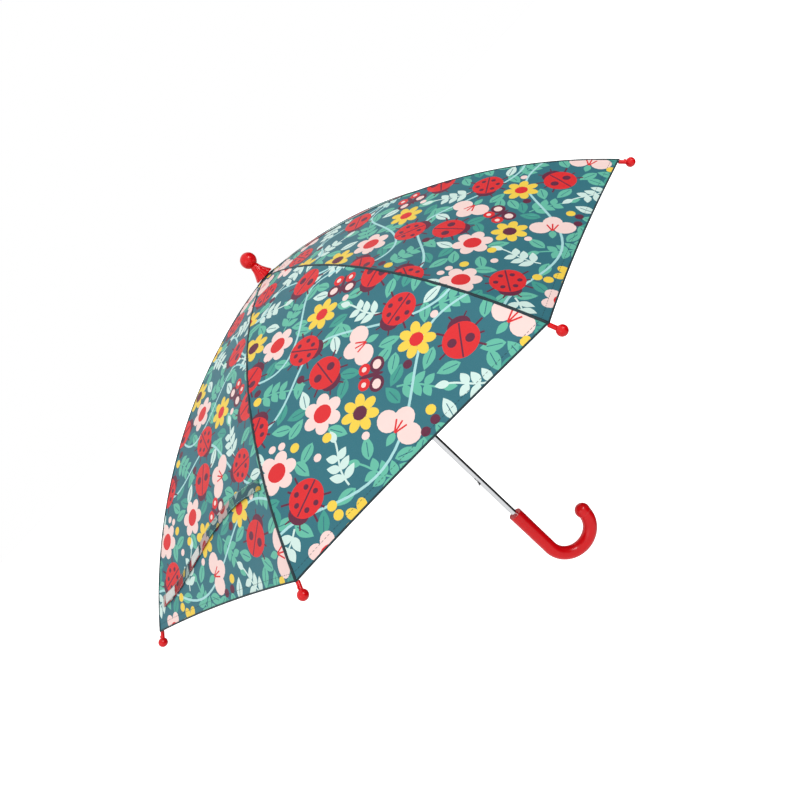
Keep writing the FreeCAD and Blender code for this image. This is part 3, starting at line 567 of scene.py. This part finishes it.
def cloth(name, ink=None, shade=1.0, paler=0.0, rough=0.5):
    """Thin woven polyester; without an ink of its own it shows the printed attribute."""
    material, tree, shader = new_material(name)
    coords = object_coords(tree, 1.0)
    if ink is None:
        attribute = add_node(tree, "ShaderNodeAttribute", attribute_name="print")
        colour = attribute.outputs["Color"]
    else:
        colour = INK[ink]
    if paler:
        colour = mixed(tree, paler, colour, linear(120, 150, 152))
    wash = ranged(tree, noise(tree, coords, 38.0), 0.0, 0.10)
    colour = mixed(tree, wash, colour, (0.0, 0.0, 0.0, 1.0))
    fleck = ranged(tree, noise(tree, coords, 2600.0, 1.0), 0.0, 0.04)
    colour = mixed(tree, fleck, colour, (1.0, 1.0, 1.0, 1.0))
    colour = mixed(tree, 1.0, colour, (shade, shade, shade, 1.0), "MULTIPLY")
    tree.links.new(colour, shader.inputs["Base Color"])
    uneven = ranged(tree, noise(tree, coords, 60.0), rough - 0.06, rough + 0.08)
    tree.links.new(uneven, shader.inputs["Roughness"])
    shader.inputs["Specular IOR Level"].default_value = 0.22
    shader.inputs["Sheen Weight"].default_value = 0.04
    shader.inputs["Sheen Roughness"].default_value = 0.4
    bumped(tree, shader, weave(tree, 0.0006), 0.25, 0.0001)
    return material


def plastic(name, colour, rough, coat):
    """Moulded plastic: even colour with faint flow, and small scuffs in its gloss."""
    material, tree, shader = new_material(name)
    coords = object_coords(tree, 1.0)
    flow = ranged(tree, noise(tree, coords, 90.0), 0.0, 0.16)
    deep = (0.35 * colour[0], 0.0, 0.0, 1.0)
    tree.links.new(mixed(tree, flow, colour, deep), shader.inputs["Base Color"])
    scuffs = ranged(tree, noise(tree, coords, 420.0, 6.0, 0.7), rough, rough + 0.12)
    tree.links.new(scuffs, shader.inputs["Roughness"])
    shader.inputs["Coat Weight"].default_value = coat
    shader.inputs["Coat Roughness"].default_value = 0.06
    shader.inputs["Specular IOR Level"].default_value = 0.3
    bumped(tree, shader, noise(tree, coords, 160.0, 2.0), 0.06, 0.0004)
    return material


def metal(name, colour, rough, grain, metallic=1.0):
    """Drawn or plated metal with fine lines along the shaft."""
    material, tree, shader = new_material(name)
    coords = object_coords(tree, 1.0)
    stretched = add_node(tree, "ShaderNodeMapping", Scale=(1.0, 1.0, 0.04))
    tree.links.new(coords, stretched.inputs["Vector"])
    lines = noise(tree, stretched.outputs["Vector"], 1400.0, 4.0, 0.6)
    tarnish = ranged(tree, noise(tree, coords, 55.0), 0.0, 0.14)
    dark = tuple(0.45 * c for c in colour[:3]) + (1.0,)
    tree.links.new(mixed(tree, tarnish, colour, dark), shader.inputs["Base Color"])
    tree.links.new(ranged(tree, lines, rough, rough + grain), shader.inputs["Roughness"])
    shader.inputs["Metallic"].default_value = metallic
    bumped(tree, shader, lines, 0.08, 0.0001)
    return material


def napped(name, colour):
    """Hook-and-loop tape: a rough nap of tiny loops."""
    material, tree, shader = new_material(name)
    coords = object_coords(tree, 1.0)
    nap = noise(tree, coords, 1500.0, 4.0, 0.7)
    light = ranged(tree, nap, 0.0, 0.6)
    tree.links.new(mixed(tree, light, colour, linear(238, 238, 234)), shader.inputs["Base Color"])
    shader.inputs["Roughness"].default_value = 0.9
    shader.inputs["Sheen Weight"].default_value = 0.5
    bumped(tree, shader, nap, 0.9, 0.0006)
    return material


PRINT = cloth("printed_cloth")
LINING = cloth("printed_cloth_inside", paler=0.35, shade=0.8, rough=0.62)
# Navy darkened further. On the seams and the hem's edge this dark is painted shade; on the crown rosette it
# is the trim's colour.
TRIM_AND_PAINTED_SHADE = cloth("dark_trim_and_painted_shade", ink="navy", shade=0.8)
THREAD = cloth("sewing_thread", ink="navy", rough=0.6)
PALE_THREAD = cloth("strap_thread", ink="stem", rough=0.6)
STRAP_CLOTH = cloth("strap_cloth", shade=0.5)
RED = plastic("red_gloss_plastic", linear(226, 4, 16), 0.24, 0.15)
RUNNER_RED = plastic("runner_plastic", linear(200, 14, 24), 0.3, 0.2)
BLACK = plastic("black_plastic", linear(26, 26, 28), 0.42, 0.0)
CHROME = metal("chromed_tube", (0.80, 0.81, 0.83, 1.0), 0.06, 0.10)
STEEL = metal("bright_steel", (0.62, 0.62, 0.63, 1.0), 0.2, 0.2)
COATED = metal("coated_steel", (0.035, 0.035, 0.04, 1.0), 0.32, 0.2, 0.6)
NAP = napped("hook_and_loop", linear(196, 198, 194))


# ---------------------------------------------------------------- the printed gores
HEM_RUN = run_at(HEM_REACH)
CROWN_RUN = run_at(CROWN_REACH)
GRID = 7.5                   # spacing of the fabric's own points, millimetres
RIM_STEPS = 72               # points along each side of the gore
HEM_STEPS = 37               # points along its hem
OVERLAP = 0.35               # share of a motif's radius that may lie past the seam


def half_width(run_mm):
    """Half the gore's width after a run from the axis, both in millimetres."""
    return float(reach_at(np.clip(run_mm, 0.0, HEM_RUN / MM) * MM)) * HALF_CHORD / MM


def gore_print():
    """The flat gore in millimetres: crown at 0, hem at HEM_RUN, cut along its middle."""
    runs = np.linspace(CROWN_RUN, HEM_RUN, RIM_STEPS) / MM
    right = [(half_width(run), run) for run in runs]
    wide = half_width(runs[-1])
    hem = [(wide * s, runs[-1]) for s in np.linspace(1, -1, HEM_STEPS)[1:-1]]
    outline = right + hem + [(-x, y) for x, y in right[::-1]]
    middle = [(0.0, run) for run in runs]
    spots = []
    for row, run in enumerate(np.arange(runs[0] + GRID, runs[-1] - 2, GRID)):
        count = max(1, int(2 * half_width(run) / GRID))
        spots += [(half_width(run) * (2 * (i + 0.5) / count - 1), run) for i in range(count)]

    def inside(x, y, room):
        return abs(x) < half_width(y) + OVERLAP * room

    low, high, taken = (-wide - 5, 4.0), (wide + 5, runs[-1] + 8), []
    layered = scattered(inside, low, high, MOTIF_SEED, MOTIFS, PRINT_SIZE, taken, APART)
    layered += scattered(inside, low, high, FILLER_SEED, FILLERS, PRINT_SIZE, taken)
    layered.append((VINE_LAYER, vines(runs[-1], half_width)))
    return cut_print(outline, painted(layered), spots, [middle])


def to_gore(flat, gore):
    """Points of the flat gore laid on the frame."""
    reach = reach_at(np.clip(flat[:, 1] * MM, CROWN_RUN, HEM_RUN))
    share = np.clip(flat[:, 0] * MM / (reach * HALF_CHORD), -1, 1)
    return gore_point(gore, share, reach)


def soft(piece, rib):
    """A soft piece that goes with a rib, on a mesh of its own."""
    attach(piece, f"rib_{rib}_body")
    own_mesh(piece)


def both_halves(rib):
    """The half gores beside a rib: (gore, side of the gore, share at the rib)."""
    return ((rib - 1, -1), ((rib - 2) % RIBS, 1))


CANOPY_CLOTH = 0.00022       # thickness of the canopy's cloth


def make_canopy():
    """The printed cloth, one piece for each rib, from the middle of one gore to the middle of the next."""
    flat, cells, inks = gore_print()
    centre = flat[cells].mean(axis=1)[:, 0]
    corner = flat[cells[:, 0]]
    facing_in = np.cross(flat[cells[:, 1]] - corner, flat[cells[:, 2]] - corner) > 0
    cells = np.where(facing_in[:, None], cells[:, ::-1], cells)
    for rib in range(1, RIBS + 1):
        points, faces, colours = [], [], []
        for gore, side in both_halves(rib):
            mine = cells[centre * side > 0]
            used, back = np.unique(mine, return_inverse=True)
            start = len(points)
            points += list(to_gore(flat[used], gore))
            faces += [tuple(start + int(i) for i in cell) for cell in back.reshape(mine.shape)]
            colours += list(inks[centre * side > 0])
        piece = mesh_object(f"canopy_fabric_{rib}", points, faces, PRINT, colours)
        piece.data.materials.append(LINING)
        inner = thickened(piece, CANOPY_CLOTH)
        inner.material_offset = 1
        inner.use_rim = False
        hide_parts(f"canopy_section_{rib}")
        soft(piece, rib)


# ---------------------------------------------------------------- seams, hems and threads
# Section of a seam, as (across, up): a low band with sloping sides.
SEAM_SECTION = [(-0.0013, -0.0005), (-0.0011, 0.00012), (-0.0004, 0.0004), (0.0004, 0.0004),
                (0.0011, 0.00012), (0.0013, -0.0005)]
SEAM_START = 0.012           # distance from the axis where the seams start, under the rosette


def rib_line(rib, low, high, count):
    """Points and normals along a seam, straight above its rib."""
    reach = np.linspace(low, high, count)
    azimuth = math.radians(PHASE + STEP * (rib - 1))
    theta = np.arcsin((reach - ARC_X) / ARC)
    cos, sin = math.cos(azimuth), math.sin(azimuth)
    normal = np.stack([np.sin(theta) * cos, np.sin(theta) * sin, np.cos(theta)], axis=1)
    line = np.stack([reach * cos, reach * sin, ARC_Z + ARC * np.cos(theta)], axis=1)
    return line, normal


def make_seams():
    """A felled seam over each rib, as a low band on the cloth; its dark colour is painted shade along the
    seam.
    """
    for rib in range(1, RIBS + 1):
        line, normal = rib_line(rib, SEAM_START, HEM_REACH, 60)
        piece = mesh_object(f"seam_{rib}", *swept(line, normal, SEAM_SECTION), TRIM_AND_PAINTED_SHADE)
        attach(piece, f"rib_{rib}_body")


def hem_frame(gore, side, inset):
    """Points near the hem of a half gore, with unit vectors down the cloth and out of it."""
    share = np.linspace(0.0, 1.0, 44) * side
    reach = np.full(len(share), HEM_REACH - inset)
    line = gore_point(gore, share, reach)
    down = gore_point(gore, share, reach + 1e-4, False) - gore_point(gore, share, reach - 1e-4, False)
    return line, down / np.linalg.norm(down, axis=1, keepdims=True), outward(gore, share, reach)


# Section of the hem, as (down the cloth, out of it): a thin bead on the edge, a flat turning inside.
HEM_FOLD = [(0.0004, 0.0004), (0.0011, 0.0001), (0.0011, -0.0005), (0.0003, -0.0010), (-0.0056, -0.0009),
            (-0.0058, -0.0006), (-0.0056, -0.0003), (0.0, -0.0002), (-0.0004, 0.00035)]
HEM_INSET = 0.0003           # distance of that section's origin from the hem
THREAD_INSET = 0.0046        # distance of the hem's stitches from it


def make_hems():
    """A narrow hem turned to the inside, with its row of stitches; its dark colour is partly the cloth's
    inner side and partly painted shade along the edge.
    """
    for rib in range(1, RIBS + 1):
        bands, threads = [], []
        for gore, side in both_halves(rib):
            line, down, out = hem_frame(gore, side, HEM_INSET)
            points = [p + d * x + n * y for p, d, n in zip(line, down, out) for x, y in HEM_FOLD]
            bands.append((points, grid_faces(len(line), len(HEM_FOLD), True)))
            line, down, out = hem_frame(gore, side, THREAD_INSET)
            threads.append(stitches(line, out, 0.0032, 0.0023, 0.00017))
        soft(mesh_object(f"hem_{rib}", *joined(bands), TRIM_AND_PAINTED_SHADE), rib)
        soft(mesh_object(f"hem_stitches_{rib}", *joined(threads), THREAD), rib)


# ---------------------------------------------------------------- closure strap
STRAP_RIB = 6
STRAP_GORE = 4               # the gore that it crosses, counted from 0
# Its route is a share of that gore's width, from the strap's seam, and a reach along the rib.
STRAP_ROUTE = [(0.03, 0.277), (0.35, 0.283), (0.55, 0.297), (0.75, 0.313), (0.94, 0.324)]
STRAP_WIDTH = 0.011
STRAP_LENGTH = 0.25
CLOTH_RUN = 0.75             # horizontal run of the cloth near the strap, for each unit along its slope


def strap_points(run, across, lift):
    """Points of the strap at shares of its length, a distance across it and a lift off the canopy."""
    stations = np.linspace(0, 1, len(STRAP_ROUTE))
    shares, reaches = np.array(STRAP_ROUTE).T
    curve = [np.polyfit(stations, shares, 3), np.polyfit(stations, reaches, 3)]
    run, across = np.broadcast_arrays(np.asarray(run, float), np.asarray(across, float))
    share = 1 - 2 * np.polyval(curve[0], run)
    reach = np.polyval(curve[1], run) + across * CLOTH_RUN
    plain = gore_point(STRAP_GORE, share, reach, False)
    return plain + outward(STRAP_GORE, share, reach) * np.asarray(lift)[..., None]


def strap_lift(run):
    """The strap lies in a loose wave, lowest at its seam and at its free end."""
    return 0.0011 + 0.0007 * np.sin(run * 11.0) ** 2


STRAP_MOTIFS = [
    (ladybird(FEW_SPOTS), 13.0, 2, 2.6, 3),
    (flower(6, 8.6, 4.6, 5.2, "pink", 6.2, "red"), 12.0, 3, 3.1, 3),
    (single_leaf("mint"), 6.0, 12, 3.1, 1),
    (single_leaf("pale"), 6.0, 5, 3.1, 1),
    (dot("yellow", 3.2), 4.0, 4, 0.0, 2),
]
STRAP_PRINT_SIZE = 1.2       # the motifs' size on the strap, beside the size they are drawn at
STRAP_FACES = (0.3, -0.6, 0.74)      # direction in which the strap faces, on the whole
STRAP_CLOTHS = 0.0007        # thickness of the doubled strap
TAPE_THICK = 0.0006
TAPE_HALF_WIDTH = 0.0043
# Each tape's piece, the CAD node that it stands for, and its start and end as shares of the strap's length.
TAPES = [("loop_tape", "strap_loop_patch", 0.56, 0.65), ("hook_tape", "strap_hook_patch", 0.88, 0.97)]


def strap_print():
    """Flat strap in millimetres, with a small darker piece of the canopy's print."""
    long, wide = STRAP_LENGTH / MM, STRAP_WIDTH / MM / 2
    outline = [(x, -wide) for x in np.linspace(0, long, 60)] + [(x, wide) for x in np.linspace(long, 0, 60)]
    spots = [(x, y) for x in np.arange(3, long, 4.0) for y in (-2.7, 0.0, 2.7)]
    layered = scattered(lambda x, y, room: True, (0, -wide - 4), (long, wide + 4), STRAP_SEED, STRAP_MOTIFS,
                        STRAP_PRINT_SIZE, [])
    return cut_print(outline, painted(layered), spots, [])


def make_strap():
    """Strap with stitched edges and two patches of hook-and-loop tape."""
    flat, cells, inks = strap_print()
    run, across = flat[:, 0] * MM / STRAP_LENGTH, flat[:, 1] * MM
    strap = mesh_object("closure_band", strap_points(run, across, strap_lift(run)), cells, STRAP_CLOTH, inks)
    thickened(strap, STRAP_CLOTHS)
    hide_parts("closure_strap")
    soft(strap, STRAP_RIB)
    threads = []
    steps = np.linspace(0.01, 0.99, 120)
    for side in (-1, 1):
        edge = np.full(len(steps), side * (STRAP_WIDTH / 2 - 0.001))
        line = strap_points(steps, edge, strap_lift(steps))
        threads.append(stitches(line, np.repeat([STRAP_FACES], len(steps), axis=0), 0.0028, 0.002, 0.00016))
    sewn = mesh_object("strap_stitches", *joined(threads), PALE_THREAD)
    soft(sewn, STRAP_RIB)
    chance = np.random.default_rng(7)
    rows, columns = 14, 9
    for name, node_name, start, end in TAPES:
        run, across = np.meshgrid(np.linspace(start, end, rows),
                                  np.linspace(-TAPE_HALF_WIDTH, TAPE_HALF_WIDTH, columns), indexing="ij")
        lift = strap_lift(run) + TAPE_THICK + chance.uniform(0, 0.00025, run.shape)
        points = strap_points(run.ravel(), across.ravel(), lift.ravel())
        tape = mesh_object(name, points, grid_faces(rows, columns), NAP)
        thickened(tape, TAPE_THICK)
        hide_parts(node_name)
        soft(tape, STRAP_RIB)


make_canopy()
make_seams()
make_hems()
make_strap()

# ---------------------------------------------------------------- finishes of the CAD pieces
# Names of CAD nodes, where one that ends in an underscore stands for all that start so; the first fit counts.
FINISHES = [
    (("shaft_tube",), CHROME),
    (("top_catch_pin", "low_catch_pin", "runner_stop_pin", "top_notch_wire", "runner_wire",
      "top_catch_spring", "bottom_catch_spring", "rib_joint_"), STEEL),
    (("handle", "ferrule", "rib_tip_"), RED),
    (("runner",), RUNNER_RED),
    (("top_notch",), BLACK),
    (("crown_rosette",), TRIM_AND_PAINTED_SHADE),
    (("rib_", "stretcher_"), COATED),
    (("canopy_section_", "closure_strap"), TRIM_AND_PAINTED_SHADE),
    (("strap_",), NAP),
]


def finish_of(name):
    """Material of the first row of FINISHES that a node's name fits."""
    for names, material in FINISHES:
        if any(name == entry or entry.endswith("_") and name.startswith(entry) for entry in names):
            return material
    raise KeyError(name)


for name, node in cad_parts.items():
    for slot in node.material_slots:
        slot.link = "OBJECT"
        slot.material = finish_of(name)

# ---------------------------------------------------------------- floor and light
FLOOR = -0.55
FLOOR_SIZE = 30.0            # half the floor's width
LIT = Vector((0, 0, 0.3))    # the point that the lamps face


def make_stage():
    """A wide pale floor that is kept out of the light and the reflections on the umbrella."""
    mesh = bpy.data.meshes.new("floor")
    corners = [(x * FLOOR_SIZE, y * FLOOR_SIZE, FLOOR) for x, y in ((-1, -1), (1, -1), (1, 1), (-1, 1))]
    mesh.from_pydata(corners, [], [(0, 1, 2, 3)])
    floor = bpy.data.objects.new("floor", mesh)
    bpy.context.scene.collection.objects.link(floor)
    material, tree, shader = new_material("pale_floor")
    coords = object_coords(tree, 1.0)
    tone = ranged(tree, noise(tree, coords, 3.0), 0.0, 0.02)
    paint = mixed(tree, tone, (0.93, 0.93, 0.93, 1.0), (0.9, 0.9, 0.9, 1.0))
    tree.links.new(paint, shader.inputs["Base Color"])
    shader.inputs["Roughness"].default_value = 0.9
    shader.inputs["Specular IOR Level"].default_value = 0.0
    shader.inputs["Emission Color"].default_value = (1.0, 1.0, 1.0, 1.0)
    shader.inputs["Emission Strength"].default_value = 0.8
    mesh.materials.append(material)
    floor.visible_diffuse = False
    floor.visible_glossy = False


def lamp(name, place, power, size):
    """Square soft light that faces the middle of the canopy."""
    data = bpy.data.lights.new(name, "AREA")
    data.energy = power
    data.size = size
    made = bpy.data.objects.new(name, data)
    made.location = place
    made.rotation_mode = "QUATERNION"
    made.rotation_quaternion = (LIT - Vector(place)).to_track_quat("-Z", "Y")
    bpy.context.scene.collection.objects.link(made)


# Brightness of the studio from -X (0) to +X (1), which gives polished pieces a light and a dark strip.
STUDIO_STRIPS = [(0.0, 0.9), (0.12, 1.0), (0.72, 1.0), (0.78, 0.03), (0.97, 0.02), (1.0, 0.3)]


def make_world(strength):
    """White behind the object, and for light and reflections a studio with dark and light strips."""
    world = bpy.data.worlds.new("studio")
    world.use_nodes = True
    tree = world.node_tree
    shown = tree.nodes["Background"]
    shown.inputs["Color"].default_value = (1.0, 1.0, 1.0, 1.0)
    coords = tree.nodes.new("ShaderNodeTexCoord")
    parts = tree.nodes.new("ShaderNodeSeparateXYZ")
    tree.links.new(coords.outputs["Generated"], parts.inputs["Vector"])
    spread = add_node(tree, "ShaderNodeMapRange", From_Min=-1.0, From_Max=1.0)
    tree.links.new(parts.outputs["X"], spread.inputs["Value"])
    ramp = tree.nodes.new("ShaderNodeValToRGB")
    stops = ramp.color_ramp.elements
    while len(stops) < len(STUDIO_STRIPS):
        stops.new(0.5)
    for stop, (place, value) in zip(stops, STUDIO_STRIPS):
        stop.position = place
        stop.color = (value, value, value, 1.0)
    tree.links.new(spread.outputs["Result"], ramp.inputs["Fac"])
    around = add_node(tree, "ShaderNodeBackground", Strength=strength)
    tree.links.new(ramp.outputs["Color"], around.inputs["Color"])
    path = tree.nodes.new("ShaderNodeLightPath")
    choice = tree.nodes.new("ShaderNodeMixShader")
    tree.links.new(path.outputs["Is Camera Ray"], choice.inputs["Fac"])
    tree.links.new(around.outputs["Background"], choice.inputs[1])
    tree.links.new(shown.outputs["Background"], choice.inputs[2])
    tree.links.new(choice.outputs["Shader"], tree.nodes["World Output"].inputs["Surface"])
    bpy.context.scene.world = world


def make_lights():
    make_world(0.92)
    lamp("key", (1.4, -1.5, 1.5), 22.0, 0.8)
    lamp("fill", (-1.3, -1.6, 0.9), 4.0, 1.2)


make_stage()
make_lights()
bpy.context.scene.view_settings.view_transform = "Standard"
